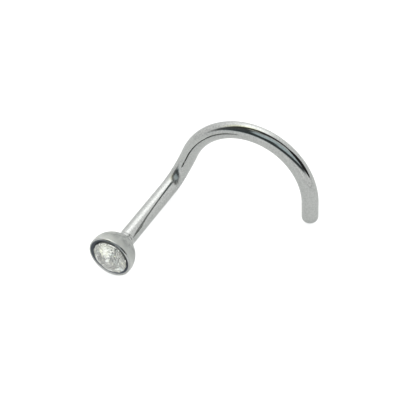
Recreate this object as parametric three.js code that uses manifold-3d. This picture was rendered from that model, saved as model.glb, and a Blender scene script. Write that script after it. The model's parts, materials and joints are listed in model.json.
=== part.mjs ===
import * as THREE from 'three';
import { ConvexGeometry } from 'three/addons/geometries/ConvexGeometry.js';
import { mergeVertices } from 'three/addons/utils/BufferGeometryUtils.js';
import Module from 'manifold-3d';

// A nose stud: a ball-shaped cup on a bent wire, with a round brilliant-cut stone in its face.
// It lies as it does when it is put down: on the ball, the outside of the bend and the wire's end.
// Lengths are in millimetres and angles in degrees.

// The wire: post, tight bend that eases off, wide hook and a short straight end.
const wireDiameter = 1.0;
const postLength = 6.44;
const bendRadius = 1.3;
const bendAngle = 58.4;
const easeRadius = 3.0;
const easeAngle = 26.8;
const hookTurn = 90.4;
const hookRadius = 3.96;
const hookAngle = 155.1;
const endLength = 1.3;
const endRounding = 0.38;

// The stone: a round brilliant.
const stoneDiameter = 2.1;
const tableDiameter = 1.3;
const crownHeight = 0.24;
const girdleThickness = 0.05;
const pavilionDepth = 0.9;
const starReach = 0.5;
const lowerReach = 0.78;
const stoneTurn = 12;

// The setting: a ball cut off by a flat face in front of its centre, with a groove round the stone.
// The wire is soldered on a little off the ball's middle.
const settingWall = 0.276;
const settingOffset = 0.075;
const faceForward = 0.25;
const girdleDepth = 0.03;
const seatClearance = 0.03;
const grooveDepth = 0.08;
const grooveFloor = 0.03;
const lipFlat = 0.03;
const lipRounding = 0.04;
const solderFillet = 0.35;
const solderThickness = 0.01;

// Smoothness of the round shapes. The wire's steps are a share of its diameter.
const wireSides = 20;
const wireStepShare = 0.22;
const endInset = 0.005;
const latheSides = 40;
const arcStep = 9;
const stoneFolds = 8;

const wireRadius = wireDiameter / 2;
const stoneRadius = stoneDiameter / 2;
const tableRadius = tableDiameter / 2;
const ballRadius = stoneRadius + settingWall;
const seatRadius = stoneRadius + seatClearance;
const grooveRadius = seatRadius + grooveFloor;
const crownSlope = crownHeight / (stoneRadius - tableRadius);
const pavilionSlope = pavilionDepth / stoneRadius;
const girdleTop = faceForward - girdleDepth;
const girdleBottom = girdleTop - girdleThickness;
const seatDrop = seatClearance * Math.hypot(1, pavilionSlope);
const seatPoint = girdleBottom - pavilionDepth - seatDrop;

const wasm = await Module();
wasm.setup();

function radians(degrees) {
  return THREE.MathUtils.degToRad(degrees);
}

// A closed mesh as a solid, with its shared corners merged and its empty triangles left out.
function toSolid(geometry) {
  const bare = geometry.clone();
  bare.deleteAttribute('normal');
  bare.deleteAttribute('uv');
  const welded = mergeVertices(bare, 1e-5);
  const index = welded.index.array;
  const triangles = [];
  for (let i = 0; i < index.length; i += 3) {
    const [a, b, c] = index.slice(i, i + 3);
    if (a !== b && b !== c && c !== a) triangles.push(a, b, c);
  }
  return new wasm.Manifold(new wasm.Mesh({
    numProp: 3,
    vertProperties: new Float32Array(welded.attributes.position.array),
    triVerts: new Uint32Array(triangles),
  }));
}

function toGeometry(solid) {
  const mesh = solid.getMesh();
  const geometry = new THREE.BufferGeometry();
  geometry.setAttribute('position', new THREE.BufferAttribute(mesh.vertProperties, 3));
  geometry.setIndex(new THREE.BufferAttribute(mesh.triVerts, 1));
  geometry.computeVertexNormals();
  return geometry;
}

// The wire's centre line. It starts at the ball's centre, runs along +X, and turns towards `inward`.
class WirePath extends THREE.Curve {
  constructor() {
    super();
    this.stretches = [];
    this.point = new THREE.Vector3();
    this.tangent = new THREE.Vector3(1, 0, 0);
    this.inward = new THREE.Vector3(0, 0, 1);
    this.total = 0;
  }

  add(radius, length) {
    const stretch = {
      start: this.point.clone(),
      tangent: this.tangent.clone(),
      inward: this.inward.clone(),
      radius,
      length,
    };
    this.stretches.push(stretch);
    this.point = this.along(stretch, length);
    this.total += length;
    return stretch;
  }

  straight(length) {
    return this.add(Infinity, length);
  }

  bend(radius, degrees) {
    const stretch = this.add(radius, radius * radians(degrees));
    const axis = new THREE.Vector3().crossVectors(this.tangent, this.inward);
    this.tangent.applyAxisAngle(axis, radians(degrees));
    this.inward.applyAxisAngle(axis, radians(degrees));
    return stretch;
  }

  turn(degrees) {
    this.inward.applyAxisAngle(this.tangent, radians(degrees));
  }

  along(stretch, distance) {
    const point = stretch.start.clone();
    if (stretch.radius === Infinity) return point.addScaledVector(stretch.tangent, distance);
    const angle = distance / stretch.radius;
    point.addScaledVector(stretch.tangent, stretch.radius * Math.sin(angle));
    return point.addScaledVector(stretch.inward, stretch.radius * (1 - Math.cos(angle)));
  }

  getPoint(t, target = new THREE.Vector3()) {
    let distance = t * this.total;
    for (const stretch of this.stretches) {
      if (distance <= stretch.length) return target.copy(this.along(stretch, distance));
      distance -= stretch.length;
    }
    const last = this.stretches.at(-1);
    return target.copy(this.along(last, last.length));
  }
}

// Points of an arc of a profile, from one angle to another about a centre.
function arcPoints(centreRadius, centreHeight, radius, fromDegrees, toDegrees) {
  const count = Math.max(2, Math.ceil(Math.abs(toDegrees - fromDegrees) / arcStep));
  return Array.from({ length: count + 1 }, (_, i) => {
    const angle = radians(THREE.MathUtils.lerp(fromDegrees, toDegrees, i / count));
    const x = centreRadius + radius * Math.cos(angle);
    return new THREE.Vector2(x, centreHeight + radius * Math.sin(angle));
  });
}

const neckRadius = wireRadius + solderThickness;
const filletAxis = neckRadius + solderFillet;
const filletHeight = -Math.sqrt((ballRadius + solderFillet) ** 2 - filletAxis ** 2);
const joinAngle = THREE.MathUtils.radToDeg(Math.atan2(filletHeight, filletAxis));
const joinHeight = ballRadius * Math.sin(radians(joinAngle));

// Profile of the setting, radius against height above the ball's centre: solder fillet, ball,
// lip, groove, and the seat that follows the stone.
function settingProfile() {
  const edgeHeight = faceForward - lipRounding;
  const edgeAxis = Math.sqrt((ballRadius - lipRounding) ** 2 - edgeHeight ** 2);
  const edgeAngle = THREE.MathUtils.radToDeg(Math.atan2(edgeHeight, edgeAxis));
  return [
    new THREE.Vector2(0, filletHeight),
    ...arcPoints(filletAxis, filletHeight, solderFillet, 180, 180 + joinAngle),
    ...arcPoints(0, 0, ballRadius, joinAngle, edgeAngle).slice(1),
    ...arcPoints(edgeAxis, edgeHeight, lipRounding, edgeAngle, 90).slice(1),
    new THREE.Vector2(edgeAxis - lipFlat, faceForward),
    new THREE.Vector2(grooveRadius, faceForward - grooveDepth),
    new THREE.Vector2(seatRadius, girdleBottom - seatDrop + pavilionSlope * seatClearance),
    new THREE.Vector2(0, seatPoint),
  ];
}

// The solder fillet leans over from the ball to the wire.
function leanFillet(setting) {
  const places = setting.attributes.position;
  for (let i = 0; i < places.count; i++) {
    const share = (joinHeight - places.getY(i)) / (joinHeight - filletHeight);
    const lean = settingOffset * THREE.MathUtils.smoothstep(share, 0, 1);
    places.setX(i, places.getX(i) - lean);
  }
}

// Profile of the rounded wire end, radius against height above the start of the rounding.
function endProfile() {
  const radius = wireRadius - endInset;
  return [
    new THREE.Vector2(0, -wireRadius / 2),
    new THREE.Vector2(radius, -wireRadius / 2),
    ...arcPoints(radius - endRounding, 0, endRounding, 0, 90),
    new THREE.Vector2(0, endRounding),
  ];
}

// The setting, the post, the bend and the hook are one soldered solid.
function wireAndSetting(wire) {
  const setting = new THREE.LatheGeometry(settingProfile(), latheSides);
  leanFillet(setting);
  setting.rotateZ(Math.PI / 2);

  const section = new THREE.Shape().absarc(0, 0, wireRadius, 0, 2 * Math.PI);
  const strand = new THREE.ExtrudeGeometry(section, {
    steps: Math.round(wire.total / (wireStepShare * wireDiameter)),
    curveSegments: wireSides / 2,
    extrudePath: wire,
  });

  const end = new THREE.LatheGeometry(endProfile(), wireSides);
  const up = new THREE.Vector3(0, 1, 0);
  end.applyQuaternion(new THREE.Quaternion().setFromUnitVectors(up, wire.tangent));
  end.translate(wire.point.x, wire.point.y, wire.point.z);

  const solid = toSolid(setting).add(toSolid(strand)).add(toSolid(end));
  const material = new THREE.MeshStandardMaterial({ color: 0xc4c7c9, metalness: 1, roughness: 0.12 });
  const mesh = new THREE.Mesh(toGeometry(solid), material);
  mesh.name = 'wire_and_setting';
  return mesh;
}

// Corners of the brilliant round its axis, at each fold and half-way between folds.
function stoneCorners() {
  const corners = [];
  const half = Math.PI / stoneFolds;
  const place = (radius, angle, height) => {
    corners.push(new THREE.Vector3(radius * Math.cos(angle), height, radius * Math.sin(angle)));
  };
  const starRadius = THREE.MathUtils.lerp(tableRadius * Math.cos(half), stoneRadius, starReach);
  const lowerRadius = stoneRadius * (1 - lowerReach);
  const starHeight = girdleTop + crownSlope * (stoneRadius - starRadius * Math.cos(half));
  const lowerHeight = girdleBottom - pavilionSlope * (stoneRadius - lowerRadius * Math.cos(half));
  for (let i = 0; i < stoneFolds; i++) {
    const fold = 2 * half * i;
    place(tableRadius, fold, girdleTop + crownHeight);
    place(starRadius, fold + half, starHeight);
    place(lowerRadius, fold + half, lowerHeight);
    for (const angle of [fold, fold + half]) {
      place(stoneRadius, angle, girdleTop);
      place(stoneRadius, angle, girdleBottom);
    }
  }
  place(0, 0, girdleBottom - pavilionDepth);
  return corners;
}

function stone() {
  const geometry = new ConvexGeometry(stoneCorners());
  geometry.rotateY(radians(stoneTurn));
  geometry.rotateZ(Math.PI / 2);
  const material = new THREE.MeshStandardMaterial({ color: 0xe4eaec, metalness: 0, roughness: 0.03 });
  const mesh = new THREE.Mesh(geometry, material);
  mesh.name = 'stone';
  return mesh;
}

// The point of the bends' centre line that lies furthest down.
function lowestPoint(wire, bends, down) {
  const points = bends.map((bend) => {
    const angle = Math.atan2(down.dot(bend.tangent), -down.dot(bend.inward));
    return wire.along(bend, THREE.MathUtils.clamp(angle * bend.radius, 0, bend.length));
  });
  return points.sort((a, b) => b.dot(down) - a.dot(down))[0];
}

// The three round places that the stud lies on, each as a ball that touches the surface,
// when `down` points at it.
function restingBalls(wire, bends, down) {
  const sideways = down.clone().addScaledVector(wire.tangent, -down.dot(wire.tangent)).normalize();
  const flat = wireRadius - endInset - endRounding;
  return [
    { centre: new THREE.Vector3(), radius: ballRadius },
    { centre: lowestPoint(wire, bends, down), radius: wireRadius },
    { centre: wire.point.clone().addScaledVector(sideways, flat), radius: endRounding },
  ];
}

// The direction that is square to the plane under three balls, on the side of `down`.
function squareToPlane(balls, down) {
  const [first, second, third] = balls;
  const u = second.centre.clone().sub(first.centre);
  const v = third.centre.clone().sub(first.centre);
  const riseU = first.radius - second.radius;
  const riseV = first.radius - third.radius;
  const [uu, uv, vv] = [u.dot(u), u.dot(v), v.dot(v)];
  const area = uu * vv - uv * uv;
  const inPlane = u.clone().multiplyScalar((riseU * vv - riseV * uv) / area);
  inPlane.addScaledVector(v, (riseV * uu - riseU * uv) / area);
  const across = new THREE.Vector3().crossVectors(u, v).normalize();
  if (across.dot(down) < 0) across.negate();
  return inPlane.addScaledVector(across, Math.sqrt(1 - inPlane.lengthSq()));
}

function restingTurn(wire, bends) {
  let down = new THREE.Vector3(0, 0, -1);
  for (let pass = 0; pass < 20; pass++) {
    down = squareToPlane(restingBalls(wire, bends, down), down);
  }
  const upright = new THREE.Quaternion().setFromUnitVectors(down, new THREE.Vector3(0, 0, -1));
  const post = new THREE.Vector3(1, 0, 0).applyQuaternion(upright);
  const level = new THREE.Quaternion();
  level.setFromAxisAngle(new THREE.Vector3(0, 0, 1), -Math.atan2(post.y, post.x));
  return level.multiply(upright);
}

// The strand starts in the metal behind the seat, half-way to the back of the ball.
const rootDistance = (ballRadius - seatPoint) / 2;
const wire = new WirePath();
wire.point.set(rootDistance, -settingOffset, 0);
wire.straight(postLength - rootDistance);
const bends = [wire.bend(bendRadius, bendAngle), wire.bend(easeRadius, easeAngle)];
wire.turn(hookTurn);
wire.bend(hookRadius, hookAngle);
wire.straight(endLength - endRounding);

// The origin is under the middle of the stud, on the surface that it lies on.
const laid = new THREE.Group();
laid.add(wireAndSetting(wire), stone());
laid.quaternion.copy(restingTurn(wire, bends));
laid.updateMatrixWorld(true);
const box = new THREE.Box3().setFromObject(laid, true);
const middle = box.getCenter(new THREE.Vector3());
laid.position.set(-middle.x, -middle.y, -box.min.z);

const group = new THREE.Group();
group.add(laid);

export default group;
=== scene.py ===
import json
import math

import bpy
from mathutils import Matrix, Vector


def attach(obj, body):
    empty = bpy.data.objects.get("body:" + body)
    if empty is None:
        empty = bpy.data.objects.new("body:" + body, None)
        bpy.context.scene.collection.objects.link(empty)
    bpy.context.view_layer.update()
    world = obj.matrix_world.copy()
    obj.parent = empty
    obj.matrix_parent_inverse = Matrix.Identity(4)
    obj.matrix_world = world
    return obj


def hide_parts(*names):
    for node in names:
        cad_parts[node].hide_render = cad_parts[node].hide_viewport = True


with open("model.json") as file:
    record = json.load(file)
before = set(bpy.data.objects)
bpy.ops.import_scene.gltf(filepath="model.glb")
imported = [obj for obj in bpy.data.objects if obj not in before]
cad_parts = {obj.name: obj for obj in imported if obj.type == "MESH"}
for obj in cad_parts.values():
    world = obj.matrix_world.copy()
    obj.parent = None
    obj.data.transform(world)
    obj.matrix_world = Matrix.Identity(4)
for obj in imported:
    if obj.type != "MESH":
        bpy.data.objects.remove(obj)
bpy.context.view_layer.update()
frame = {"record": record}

mm = 0.001
mounts = {mount["name"]: mount for mount in frame["record"]["mounts"]}
print("frame loaded")


# Helpers for shapes

def deselectAll():
    bpy.ops.object.select_all(action="DESELECT")


def startRing(name, sides, radius, centre, direction):
    # an open ring square to a direction, left in edit mode with the ring selected
    deselectAll()
    turn = direction.to_track_quat("Z", "Y").to_euler()
    bpy.ops.mesh.primitive_circle_add(vertices=sides, radius=radius, location=centre, rotation=turn)
    piece = bpy.context.object
    piece.name = name
    piece.data.name = name
    bpy.ops.object.transform_apply(location=True, rotation=True, scale=True)
    bpy.ops.object.mode_set(mode="EDIT")
    bpy.ops.mesh.select_all(action="SELECT")
    return piece


def growRing(step, centre=None, share=1):
    # extrudes the selected ring by a step, and with a centre sizes the new ring about it
    bpy.ops.mesh.extrude_region_move(TRANSFORM_OT_translate={"value": step})
    if centre is not None:
        bpy.ops.transform.resize(value=(share,) * 3, center_override=centre)


def closeRing():
    # the selected ring ends in one point
    bpy.ops.mesh.extrude_region_move(TRANSFORM_OT_translate={"value": (0, 0, 0)})
    bpy.ops.mesh.merge(type="CENTER")


def selectNear(piece, test):
    # selects the vertices that pass a test on their place
    bpy.ops.mesh.select_mode(type="VERT")
    bpy.ops.mesh.select_all(action="DESELECT")
    bpy.ops.object.mode_set(mode="OBJECT")
    for vertex in piece.data.vertices:
        vertex.select = test(vertex.co)
    bpy.ops.object.mode_set(mode="EDIT")


def finishMesh(piece, weld):
    # welds, turns the faces outwards and shades smooth
    bpy.ops.mesh.select_all(action="SELECT")
    bpy.ops.mesh.remove_doubles(threshold=weld)
    bpy.ops.mesh.normals_make_consistent(inside=False)
    bpy.ops.object.mode_set(mode="OBJECT")
    bpy.ops.object.shade_smooth()


# Helpers for materials

class Link:
    # one value in a shader, so that sums and products of values read as plain maths
    def __init__(self, nodes, socket):
        self.nodes = nodes
        self.socket = socket

    def maths(self, operation, *values):
        return self.nodes.add("ShaderNodeMath", {"operation": operation}, dict(enumerate(values)))

    def __add__(self, other):
        return self.maths("ADD", self, other)

    def __sub__(self, other):
        return self.maths("SUBTRACT", self, other)

    def __rsub__(self, other):
        return self.maths("SUBTRACT", other, self)

    def __mul__(self, other):
        return self.maths("MULTIPLY", self, other)

    def __truediv__(self, other):
        return self.maths("DIVIDE", self, other)

    def __rtruediv__(self, other):
        return self.maths("DIVIDE", other, self)

    def __pow__(self, other):
        return self.maths("POWER", self, other)

    __radd__ = __add__
    __rmul__ = __mul__

    def between(self, low, high):
        # 0 at low, 1 at high, smooth in between
        settings = {"interpolation_type": "SMOOTHSTEP"}
        return self.nodes.add("ShaderNodeMapRange", settings, {"Value": self, 1: low, 2: high})


class Nodes:
    # the node tree of a material or a world
    def __init__(self, owner):
        owner.use_nodes = True
        self.tree = owner.node_tree
        self.tree.nodes.clear()

    def add(self, kind, settings=None, sockets=None, result=0):
        node = self.tree.nodes.new(kind)
        for name, value in (settings or {}).items():
            setattr(node, name, value)
        for name, value in (sockets or {}).items():
            if isinstance(value, Link):
                self.tree.links.new(value.socket, node.inputs[name])
            else:
                node.inputs[name].default_value = value
        return Link(self, node.outputs[result]) if len(node.outputs) else node

    def split(self, vector):
        # the three parts of a vector
        parts = self.add("ShaderNodeSeparateXYZ", None, {0: vector})
        return [Link(self, output) for output in parts.socket.node.outputs]

    def mixColours(self, share, first, second):
        # a colour is a link or three numbers
        settings = {"data_type": "RGBA"}
        first, second = [x if isinstance(x, Link) else (*x, 1) for x in (first, second)]
        return self.add("ShaderNodeMix", settings, {0: share, 6: first, 7: second}, 2)

    def noise(self, place, size):
        return self.add("ShaderNodeTexNoise", None, {"Vector": place, "Scale": 1 / size})

    def distance(self, place, point):
        return self.add("ShaderNodeVectorMath", {"operation": "DISTANCE"}, {0: place, 1: tuple(point)}, 1)


def newMaterial(name):
    material = bpy.data.materials.new(name)
    return material, Nodes(material)


# The camera, at the photograph's angle

camera = {
    "place": Vector((-33.815, -19.503, 48.016)) * mm,
    "right": Vector((0.46286, -0.88527, -0.04527)),
    "down": Vector((-0.68176, -0.32288, -0.65647)),
    "lens": 96.63,
    "sensor": 36,
    "nearest": 1 * mm,
    "farthest": 2,
}


def makeCamera():
    data = bpy.data.cameras.new("camera")
    data.lens = camera["lens"]
    data.sensor_width = camera["sensor"]
    data.clip_start = camera["nearest"]
    data.clip_end = camera["farthest"]
    holder = bpy.data.objects.new("camera", data)
    bpy.context.scene.collection.objects.link(holder)
    right, up = camera["right"].normalized(), -camera["down"].normalized()
    axes = Matrix((right, up, right.cross(up))).transposed().to_4x4()
    holder.matrix_world = Matrix.Translation(camera["place"]) @ axes
    bpy.context.scene.camera = holder


makeCamera()
print("camera placed")


# The metal: a ball-shaped setting on a bent wire, one soldered piece

metal = {
    "sides": 96,
    "wireRadius": 0.5 * mm,
    "ballCentre": Vector((-4.3885, 3.8240, 1.3259)) * mm,
    "ballRadius": 1.326 * mm,
    "wireOffset": 0.075 * mm,      # from the ball's middle to the post's line
    "bendRoll": 18.512,            # degrees from upright, about the post
    "postLength": 6.44 * mm,
    "postSteps": 40,
    "bendRadius": 1.3 * mm,
    "bendAngle": 58.4,
    "bendSteps": 40,
    "easeRadius": 3.0 * mm,
    "easeAngle": 26.8,
    "easeSteps": 18,
    "hookTurn": 90.4,
    "hookRadius": 3.96 * mm,
    "hookAngle": 155.1,
    "hookSteps": 110,
    "endLength": 1.3 * mm,
    "endSteps": 8,
    "endRounding": 0.38 * mm,
    "filletRadius": 0.35 * mm,
    "filletRise": 0.01 * mm,
    "faceHeight": 0.25 * mm,
    "lipRounding": 0.08 * mm,
    "lipFlat": 0.01 * mm,
    "grooveDepth": 0.08 * mm,
    "grooveStep": 0.02 * mm,       # the groove's floor, outside the seat
    "stoneRadius": 1.05 * mm,
    "girdleHeight": 0.17 * mm,     # of the stone's widest part, above the ball's centre
    "pavilionDepth": 0.9 * mm,     # of the stone's back
    "seatPlay": 0.07 * mm,         # round the stone
    "seatClearance": 0.03 * mm,    # behind the stone, square to its back
    "seatShares": (0.75, 0.5, 0.25, 0.08),    # rings on the way to its point
    "capShare": 0.5,               # ring inside the wire's flat end
    "arcStep": 4,                  # degrees
    "weld": 0.001 * mm,
}


def arc(centreRadius, centreHeight, radius, start, stop):
    # points (radius, height) along an arc of a turned profile
    count = max(2, math.ceil(abs(stop - start) / metal["arcStep"]))
    points = []
    for i in range(count + 1):
        angle = math.radians(start + (stop - start) * i / count)
        x = centreRadius + radius * math.cos(angle)
        points.append((x, centreHeight + radius * math.sin(angle)))
    return points


def settingProfile():
    # radius against height above the ball's centre, from the post to the bottom of the seat
    ball, rounding = metal["ballRadius"], metal["lipRounding"]
    filletAxis = metal["wireRadius"] + metal["filletRise"] + metal["filletRadius"]
    filletHeight = -math.sqrt((ball + metal["filletRadius"]) ** 2 - filletAxis ** 2)
    join = math.degrees(math.atan2(filletHeight, filletAxis))
    edgeHeight = metal["faceHeight"] - rounding
    edgeAxis = math.sqrt((ball - rounding) ** 2 - edgeHeight ** 2)
    edge = math.degrees(math.atan2(edgeHeight, edgeAxis))
    points = arc(filletAxis, filletHeight, metal["filletRadius"], 180, 180 + join)
    joinHeight = points[-1][1]
    points += arc(0, 0, ball, join, edge)[1:]
    points += arc(edgeAxis, edgeHeight, rounding, edge, 90)[1:]
    points.append((edgeAxis - metal["lipFlat"], metal["faceHeight"]))

    # the groove, then the seat, a cone that follows the stone's back
    slope = metal["pavilionDepth"] / metal["stoneRadius"]
    behind = metal["seatClearance"] * math.hypot(1, slope)
    seatPoint = metal["girdleHeight"] - metal["pavilionDepth"] - behind
    seatDepth = (metal["stoneRadius"] + metal["seatClearance"]) * slope
    seatRadius = metal["stoneRadius"] + metal["seatPlay"]
    points.append((seatRadius + metal["grooveStep"], metal["faceHeight"] - metal["grooveDepth"]))
    points.append((seatRadius, seatPoint + seatDepth))
    for share in metal["seatShares"]:
        points.append((seatRadius * share, seatPoint + seatDepth * share))
    return points, joinHeight


def spinAlong(place, along, inward, radius, angle, steps):
    # spins the selected ring about a bend's centre, and gives the new place and directions
    axis = along.cross(inward)
    middle = place + inward * radius
    bpy.ops.mesh.spin(steps=steps, angle=-math.radians(angle), center=middle, axis=axis)
    turn = Matrix.Rotation(math.radians(angle), 3, axis)
    return middle + turn @ (place - middle), turn @ along, turn @ inward


def makeMetal():
    post = Vector(mounts["post"]["axis"]).normalized()
    upright = (Vector((0, 0, 1)) - post * post.z).normalized()
    inward = Matrix.Rotation(math.radians(metal["bendRoll"]), 3, post) @ upright
    shift = post.cross(inward) * metal["wireOffset"]
    centre, radius = metal["ballCentre"], metal["wireRadius"]
    profile, joinHeight = settingProfile()

    # the post starts behind the ball
    neckHeight = profile[0][1]
    neck = centre + shift - post * neckHeight
    piece = startRing("metalwork", metal["sides"], radius, neck, post)
    place = centre + shift + post * metal["postLength"]
    for i in range(metal["postSteps"]):
        growRing((place - neck) / metal["postSteps"])
    bend = place + post * metal["bendRadius"] / 2
    place, along, inward = spinAlong(place, post, inward, metal["bendRadius"], metal["bendAngle"],
                                     metal["bendSteps"])
    place, along, inward = spinAlong(place, along, inward, metal["easeRadius"], metal["easeAngle"],
                                     metal["easeSteps"])

    # the wide hook stands square to the bend
    inward = Matrix.Rotation(math.radians(metal["hookTurn"]), 3, along) @ inward
    place, along, inward = spinAlong(place, along, inward, metal["hookRadius"], metal["hookAngle"],
                                     metal["hookSteps"])

    # the short straight end, rounded off
    straight = metal["endLength"] - metal["endRounding"]
    for i in range(metal["endSteps"]):
        growRing(along * straight / metal["endSteps"])
    rounding = metal["endRounding"]
    corner = place + along * straight
    size, reach = radius, 0
    for x, height in arc(radius - rounding, 0, rounding, 0, 90)[1:]:
        growRing(along * (height - reach), corner + along * height, x / size)
        size, reach = x, height
    growRing((0, 0, 0), corner + along * reach, metal["capShare"])
    closeRing()

    # from the post's first ring the fillet, the ball, the lip and the seat grow the other way,
    # and lean over smoothly from the post's line to the ball's
    def onNeck(co):
        return abs((co - neck).dot(post)) < metal["weld"] and (co - neck).length < 2 * radius

    selectNear(piece, onNeck)
    size, middle = radius, neck
    for x, y in profile:
        share = min(1, max(0, (joinHeight - y) / (joinHeight - neckHeight)))
        target = centre - post * y + shift * (3 - 2 * share) * share ** 2
        growRing(target - middle, target, x / size)
        size, middle = x, target
    closeRing()
    finishMesh(piece, metal["weld"])
    return piece, post, bend


# the post's direction and a point in the tight bend, then the stone's face: across it and down it
metalwork, post, bend = makeMetal()
side = Vector((0, 1, 0))
down = side.cross(post)
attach(metalwork, "root")
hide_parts("wire_and_setting")
print("metal made:", len(metalwork.data.polygons), "faces")


steel = {
    "wireDark": (0.320, 0.329, 0.320),
    "wireLight": (0.395, 0.403, 0.391),
    "headDark": (0.385, 0.395, 0.385),
    "headLight": (0.53, 0.54, 0.525),
    # painted highlight: the ball is painted lighter towards the lip and darker at its back
    "rimHighlightColour": (0.64, 0.65, 0.63),
    "rimHighlightEdge": (-0.45 * mm, 0.12 * mm),        # above the ball's centre
    "lipRoughness": 0.16,
    "bendRoughness": 0.3,
    "bendEdge": (0.65 * mm, 1.05 * mm),        # rubbed by the bending, from its middle
    "edgeTint": (0.82, 0.82, 0.82),
    "wireRoughness": 0.055,
    "headRoughness": 0.85,
    "headEdge": (1.33 * mm, 1.43 * mm),        # from the ball's centre
    "lipEdge": (0.1 * mm, 0.16 * mm),          # above the ball's centre
    # painted shade: the groove round the stone gets a dark colour standing in for its shade and dark
    # reflection
    "grooveShadeColour": (0.055, 0.062, 0.075),
    "grooveRoughness": 0.6,
    "grooveGloss": 0.3,
    "grooveEdge": (1.210 * mm, 1.228 * mm),    # from the groove's middle
    "grooveShift": (-0.006 * mm, -0.05 * mm),  # of that middle, across and down the face
    "grooveFloor": (0, 0.05 * mm),             # above the ball's centre
    "neckShadeColour": (0.2, 0.21, 0.21),
    "neckShadeOuter": (-1.02 * mm, -0.78 * mm),     # painted shade: the ball darkens in a band towards the solder
    "neckShadeInner": (-1.17 * mm, -1.1 * mm),
    "neckShadeShare": 0.7,
    "grainSize": 0.09 * mm,
    "grainHeight": 0.0002 * mm,
    "waveSize": 0.7 * mm,
    "waveHeight": 0.0012 * mm,
    "blotchSize": 0.3 * mm,
    "blotchShare": 0.6,                        # the rest is fine grain
    "wireMarks": (0.3, 0.7),                   # of the noise, from dark to light
    "headMarks": (0.38, 0.62),
    "noiseMiddle": 0.5,
    "mottle": 0.25,
}


def makeSteel():
    material, nodes = newMaterial("polished_steel_wire")
    place = nodes.add("ShaderNodeTexCoord", result=3)
    centre, face = metal["ballCentre"], tuple(-post)
    offset = nodes.add("ShaderNodeVectorMath", {"operation": "SUBTRACT"}, {0: place, 1: tuple(centre)})
    height = nodes.add("ShaderNodeVectorMath", {"operation": "DOT_PRODUCT"}, {0: offset, 1: face}, 1)
    distance = nodes.distance(place, centre)
    ring = nodes.distance(place, centre + side * steel["grooveShift"][0] + down * steel["grooveShift"][1])
    across = (ring * ring - height * height) ** 0.5

    # the ball is satin up to the lip; the groove round the stone is painted dark, as painted shade and
    # painted dark reflection in the recess
    ball = 1 - distance.between(*steel["headEdge"])
    satin = ball * (1 - height.between(*steel["lipEdge"]))
    groove = (1 - across.between(*steel["grooveEdge"])) * height.between(*steel["grooveFloor"])
    rubbed = 1 - nodes.distance(place, bend).between(*steel["bendEdge"])

    fine = nodes.noise(place, steel["grainSize"])
    wide = nodes.noise(place, steel["waveSize"])
    bumps = fine * steel["grainHeight"] + wide * steel["waveHeight"]
    normal = nodes.add("ShaderNodeBump", None, {"Height": bumps, "Distance": 1, "Strength": 1})

    roughness = steel["wireRoughness"] + ball * (steel["lipRoughness"] - steel["wireRoughness"])
    roughness = roughness + rubbed * (steel["bendRoughness"] - steel["wireRoughness"])
    roughness = roughness + satin * (steel["headRoughness"] - roughness)
    roughness = roughness * (1 + (fine - steel["noiseMiddle"]) * steel["mottle"])

    blotches = nodes.noise(place, steel["blotchSize"])
    marks = fine * (1 - steel["blotchShare"]) + blotches * steel["blotchShare"]
    wire = nodes.mixColours(fine.between(*steel["wireMarks"]), steel["wireDark"], steel["wireLight"])
    head = nodes.mixColours(marks.between(*steel["headMarks"]), steel["headDark"], steel["headLight"])
    # painted highlight: the ball lighter towards the lip, darker behind
    head = nodes.mixColours(height.between(*steel["rimHighlightEdge"]), head, steel["rimHighlightColour"])
    # painted shade: a darker band on the ball round the solder
    neck = (1 - height.between(*steel["neckShadeOuter"])) * height.between(*steel["neckShadeInner"])
    head = nodes.mixColours(neck * steel["neckShadeShare"], head, steel["neckShadeColour"])
    colour = nodes.mixColours(satin, wire, head)
    shiny = nodes.add("ShaderNodeBsdfPrincipled", None, {
        "Base Color": colour, "Metallic": 1, "Roughness": roughness, "Normal": normal,
        "Specular Tint": (*steel["edgeTint"], 1),
    })
    # painted shade: the dark shader for the groove round the stone
    grooveShade = nodes.add("ShaderNodeBsdfPrincipled", None, {
        "Base Color": (*steel["grooveShadeColour"], 1), "Roughness": steel["grooveRoughness"],
        "Specular IOR Level": steel["grooveGloss"],
    })
    shader = nodes.add("ShaderNodeMixShader", None, {0: groove, 1: shiny, 2: grooveShade})
    nodes.add("ShaderNodeOutputMaterial", None, {"Surface": shader})
    return material


metalwork.data.materials.append(makeSteel())


# The stone: a round brilliant with a foil back, cut out of a blank plane by plane

stone = {
    "name": "cut_stone",
    "radius": metal["stoneRadius"],
    "tableRadius": 0.65 * mm,
    "crownHeight": 0.24 * mm,
    "girdleThickness": 0.05 * mm,
    "girdleBottom": metal["girdleHeight"],
    "pavilionDepth": metal["pavilionDepth"],
    "starReach": 0.5,
    "lowerReach": 0.78,
    "folds": 8,
    "turn": 12,                              # degrees about its own axis
    "offset": (-0.012 * mm, 0.05 * mm),      # across and down in the setting
    "cutMargin": 0.0001 * mm,
    "weld": 0.0011 * mm,
    "flatAngle": 0.5,                        # degrees, within one facet
    "backLean": 0.2,                         # faces that look back more than this have foil
    "ior": 2.0,
    "foilColour": (0.97, 0.97, 0.95),
    "foilStain": (0.88, 0.88, 0.74),
    "stainSize": 0.45 * mm,
    "stainEdge": (0.5, 0.7),
    "paleColour": (0.8, 0.81, 0.77),
    "paleShare": 0.22,
    "clearRoughness": 0.01,
    "fleckColour": (0.3, 0.29, 0.23),
    "fleckSize": 0.13 * mm,
    "fleckEdge": (0.6, 0.68),
    "crystalColour": (0.985, 1.0, 0.98),
}


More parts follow.
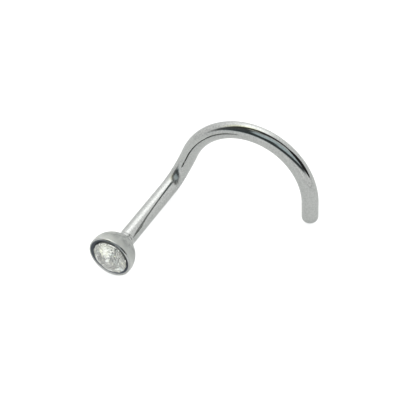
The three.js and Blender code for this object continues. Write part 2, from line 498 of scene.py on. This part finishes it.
def makeStone():
    # worked on its own axes first: table up, ball's centre at the origin
    half = math.pi / stone["folds"]
    radius, table = stone["radius"], stone["tableRadius"]
    bottom = stone["girdleBottom"]
    top = bottom + stone["girdleThickness"]
    low, high = bottom - stone["pavilionDepth"], top + stone["crownHeight"]
    crownSlope = stone["crownHeight"] / (radius - table)
    pavilionSlope = stone["pavilionDepth"] / radius
    starRadius = table * math.cos(half) * (1 - stone["starReach"]) + radius * stone["starReach"]
    starHeight = top + crownSlope * (radius - starRadius * math.cos(half))
    lowerRadius = radius * (1 - stone["lowerReach"])
    lowerHeight = bottom - pavilionSlope * (radius - lowerRadius * math.cos(half))

    def corner(r, angle, height):
        return Vector((r * math.cos(angle), r * math.sin(angle), height))

    def cutThrough(a, b, c):
        # cuts off what lies outside the plane through three corners
        normal = (b - a).cross(c - a).normalized()
        outward = Vector((a.x + b.x + c.x, a.y + b.y + c.y, 0))
        if normal.dot(outward) < 0:
            normal.negate()
        bpy.ops.mesh.select_all(action="SELECT")
        bpy.ops.mesh.bisect(plane_co=a, plane_no=normal, use_fill=True, clear_outer=True,
                            threshold=stone["cutMargin"])

    deselectAll()
    bpy.ops.mesh.primitive_cylinder_add(vertices=2 * stone["folds"], radius=radius, depth=high - low,
                                        location=(0, 0, (high + low) / 2))
    piece = bpy.context.object
    piece.name = stone["name"]
    piece.data.name = stone["name"]
    bpy.ops.object.transform_apply(location=True, rotation=True, scale=True)
    bpy.ops.object.mode_set(mode="EDIT")
    for i in range(stone["folds"]):
        before, fold, between, after = [(2 * i + step) * half for step in (-1, 0, 1, 2)]
        first = corner(table, fold, high)
        star = corner(starRadius, between, starHeight)
        edge = corner(radius, fold, top)
        rim = corner(radius, between, top)
        cutThrough(first, star, corner(starRadius, before, starHeight))       # kite
        cutThrough(first, corner(table, after, high), star)                   # star
        cutThrough(star, edge, rim)                                           # upper girdle
        cutThrough(star, rim, corner(radius, after, top))
        lower = corner(lowerRadius, between, lowerHeight)
        edge = corner(radius, fold, bottom)
        rim = corner(radius, between, bottom)
        cutThrough(corner(lowerRadius, before, lowerHeight), lower, edge)     # pavilion main
        cutThrough(lower, edge, rim)                                          # lower girdle
        cutThrough(lower, rim, corner(radius, after, bottom))
    bpy.ops.mesh.select_all(action="SELECT")
    bpy.ops.mesh.remove_doubles(threshold=stone["weld"])
    bpy.ops.mesh.dissolve_limited(angle_limit=math.radians(stone["flatAngle"]))
    bpy.ops.mesh.normals_make_consistent(inside=False)
    bpy.ops.object.mode_set(mode="OBJECT")
    return piece


def placeStone(piece):
    # table towards the front of the setting
    place = metal["ballCentre"] + side * stone["offset"][0] + down * stone["offset"][1]
    turned = Matrix((side, down, -post)).transposed().to_4x4()
    turned = turned @ Matrix.Rotation(math.radians(stone["turn"]), 4, "Z")
    piece.matrix_world = Matrix.Translation(place) @ turned
    deselectAll()
    piece.select_set(True)
    bpy.context.view_layer.objects.active = piece
    bpy.ops.object.transform_apply(location=True, rotation=True, scale=True)


def makeCrystal():
    material, nodes = newMaterial("clear_crystal_front")
    shader = nodes.add("ShaderNodeBsdfPrincipled", None, {
        "Base Color": (*stone["crystalColour"], 1), "Roughness": 0.0, "IOR": stone["ior"],
        "Transmission Weight": 1,
    })
    nodes.add("ShaderNodeOutputMaterial", None, {"Surface": shader})
    return material


def makeFoil():
    # part mirror and part pale backing, so that the facets twinkle softly
    material, nodes = newMaterial("foil_back")
    place = nodes.add("ShaderNodeTexCoord", result=3)
    stain = nodes.noise(place, stone["stainSize"]).between(*stone["stainEdge"])
    flecks = nodes.noise(place, stone["fleckSize"]).between(*stone["fleckEdge"])
    colour = nodes.mixColours(stain, stone["foilColour"], stone["foilStain"])
    colour = nodes.mixColours(flecks, colour, stone["fleckColour"])
    mirror = nodes.add("ShaderNodeBsdfPrincipled", None, {
        "Base Color": colour, "Roughness": stone["clearRoughness"], "Metallic": 1,
    })
    pale = nodes.add("ShaderNodeBsdfPrincipled", None, {
        "Base Color": (*stone["paleColour"], 1), "Roughness": 1.0, "Specular IOR Level": 0,
    })
    shader = nodes.add("ShaderNodeMixShader", None, {0: stone["paleShare"], 1: mirror, 2: pale})
    nodes.add("ShaderNodeOutputMaterial", None, {"Surface": shader})
    return material


cutStone = makeStone()
placeStone(cutStone)
cutStone.data.materials.append(makeCrystal())
cutStone.data.materials.append(makeFoil())
for face in cutStone.data.polygons:
    face.material_index = 1 if face.normal.dot(post) > stone["backLean"] else 0
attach(cutStone, "root")
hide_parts("stone")
print("stone cut:", len(cutStone.data.polygons), "facets")


# The floor and the light

floor = {"radius": 0.3, "sides": 96, "colour": (0.6, 0.6, 0.6), "roughness": 0.6}


def makeFloor():
    deselectAll()
    bpy.ops.mesh.primitive_circle_add(vertices=floor["sides"], radius=floor["radius"], fill_type="NGON")
    plane = bpy.context.object
    plane.name = "floor"
    material, nodes = newMaterial("pale_floor")
    shader = nodes.add("ShaderNodeBsdfPrincipled", None, {
        "Base Color": (*floor["colour"], 1), "Roughness": floor["roughness"],
    })
    nodes.add("ShaderNodeOutputMaterial", None, {"Surface": shader})
    plane.data.materials.append(material)


makeFloor()

# The sky is a round map in degrees, straight up in the middle and level all round. Soft-edged ovals lie
# on it: some add light, some are seen in place of it, and two tint it. The metal mirrors them.
studio = {
    "tent": 1.22,
    "backdrop": 1.0,
    "nearlyUp": 1e-6,          # keeps the map whole in its middle
    "adding": {
        "window": {"centre": (52, 21), "turn": 2, "long": 78, "short": 31, "soft": 0.6, "light": 0.58},
        "lamp": {"centre": (28, 12), "turn": 12, "long": 36, "short": 19, "soft": 0.4, "light": 0.7},
        "side": {"centre": (52, 12), "turn": 90, "long": 105, "short": 58, "soft": 0.6, "light": 0.15},
        "glow": {"centre": (-40, -50), "turn": -6, "long": 56, "short": 12, "soft": 0.75, "light": 0.16},
        "haze": {"centre": (-88, 12), "turn": 90, "long": 34, "short": 11, "soft": 0.6, "light": 0.2},
    },
    "covering": {
        "opening": {"centre": (-18.8, -10.9), "turn": -63, "long": 65, "short": 44, "soft": 0.1,
                    "light": 0.105},
        "wall": {"centre": (-14, -25), "turn": -60, "long": 43, "short": 20.5, "soft": 0.12, "light": 0.95},
        "stand": {"centre": (-39, -9), "turn": -60, "long": 14, "short": 3.2, "soft": 0.3, "light": 0.05},
        "doorway": {"centre": (-8, 10), "turn": -64, "long": 9.5, "short": 8.5, "soft": 0.36, "light": 0.5},
        "shade": {"centre": (20, -59.5), "turn": -71, "long": 23.6, "short": 23, "soft": 0.1,
                  "light": 0.035},
        "corner": {"centre": (-35, 42), "turn": -51, "long": 22, "short": 15, "soft": 0.6, "light": 0.15},
    },
    "cold": {"centre": (-46, 4), "turn": -60, "long": 80, "short": 30, "soft": 0.4,
             "tint": (0.82, 0.96, 1.0)},
    "coldSpill": 0.15,         # of the cold tint outside the opening
    "warm": {"centre": (6, 26), "turn": -50, "long": 26, "short": 17, "soft": 0.6, "tint": (1.0, 1.0, 0.8)},
    "fillSize": 0.2,
    "fillHeight": 0.25,
    "fillPower": 0.95,
}


def makeStudio():
    world = bpy.data.worlds.new("studio")
    bpy.context.scene.world = world
    nodes = Nodes(world)
    direction = nodes.add("ShaderNodeTexCoord", result=0)
    x, y, z = nodes.split(direction)
    fall = z.maths("ARCCOSINE", z) * math.degrees(1)
    level = (x * x + y * y) ** 0.5 + studio["nearlyUp"]
    u = fall * x / level
    v = fall * y / level

    def oval(shape):
        # 1 inside a soft-edged oval of the map, 0 outside
        cos, sin = math.cos(math.radians(shape["turn"])), math.sin(math.radians(shape["turn"]))
        du, dv = u - shape["centre"][0], v - shape["centre"][1]
        along = (du * cos + dv * sin) / shape["long"]
        across = (dv * cos - du * sin) / shape["short"]
        return 1 - ((along * along + across * across) ** 0.5).between(1 - shape["soft"], 1 + shape["soft"])

    light = studio["tent"]
    for shape in studio["adding"].values():
        light = light + oval(shape) * shape["light"]
    for shape in studio["covering"].values():
        share = oval(shape)
        light = light * (1 - share) + share * shape["light"]

    # the camera itself sees an even backdrop
    seen = nodes.add("ShaderNodeLightPath", result=0)
    light = light * (1 - seen) + seen * studio["backdrop"]
    spill = studio["coldSpill"] + oval(studio["covering"]["opening"]) * (1 - studio["coldSpill"])
    cold = oval(studio["cold"]) * spill * (1 - seen)
    warm = oval(studio["warm"]) * (1 - seen)
    colour = nodes.mixColours(cold, (1, 1, 1), studio["cold"]["tint"])
    colour = nodes.mixColours(warm, colour, studio["warm"]["tint"])
    background = nodes.add("ShaderNodeBackground", None, {"Color": colour, "Strength": light})
    nodes.add("ShaderNodeOutputWorld", None, {"Surface": background})


def makeFill():
    # a wide soft light for the floor alone
    data = bpy.data.lights.new("fill", "AREA")
    data.shape = "DISK"
    data.size = studio["fillSize"]
    data.energy = studio["fillPower"]
    data.use_shadow = False
    holder = bpy.data.objects.new("fill", data)
    holder.location = (0, 0, studio["fillHeight"])
    holder.visible_glossy = False
    holder.visible_transmission = False
    bpy.context.scene.collection.objects.link(holder)


makeStudio()
makeFill()
bpy.context.scene.view_settings.view_transform = "Standard"
print("floor and light made")
